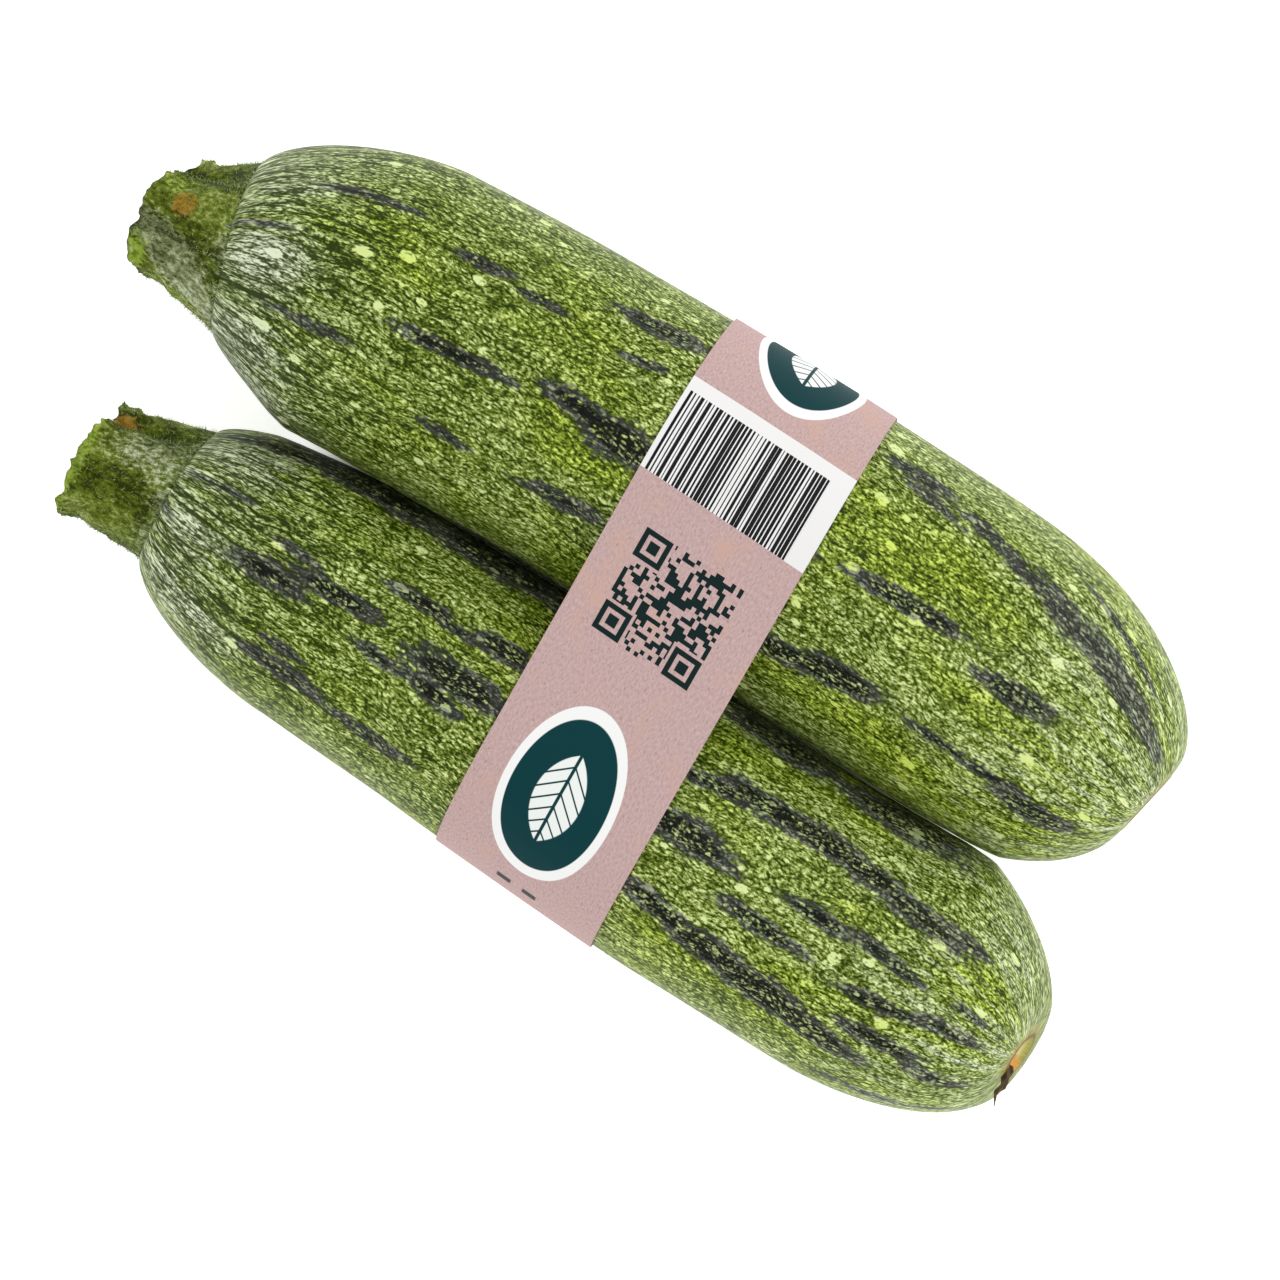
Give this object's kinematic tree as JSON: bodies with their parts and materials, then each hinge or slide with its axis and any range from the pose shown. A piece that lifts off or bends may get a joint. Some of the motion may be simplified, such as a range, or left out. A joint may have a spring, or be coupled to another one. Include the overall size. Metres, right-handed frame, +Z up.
{
  "type": "banded pair of courgettes",
  "caption": "Pale-flecked green courgettes lying side by side, tied by one wide printed paper band, with rough cut stalks and blunt blossom ends.",
  "frame": {"origin": "bottom centre of the bounding box, on the surface that the pair lies on", "axes": "+X runs along the fruits from the stalks to the blossom ends, +Y points to the larger fruit, +Z is up"},
  "size_m": [0.19, 0.0996, 0.0521],
  "materials": {
    "courgette_skin": "waxy",
    "kraft_paper": "matte"
  },
  "bodies": {
    "root": {"large_courgette": "courgette_skin", "small_courgette": "courgette_skin", "paper_band": "kraft_paper"}
  },
  "joints": []
}
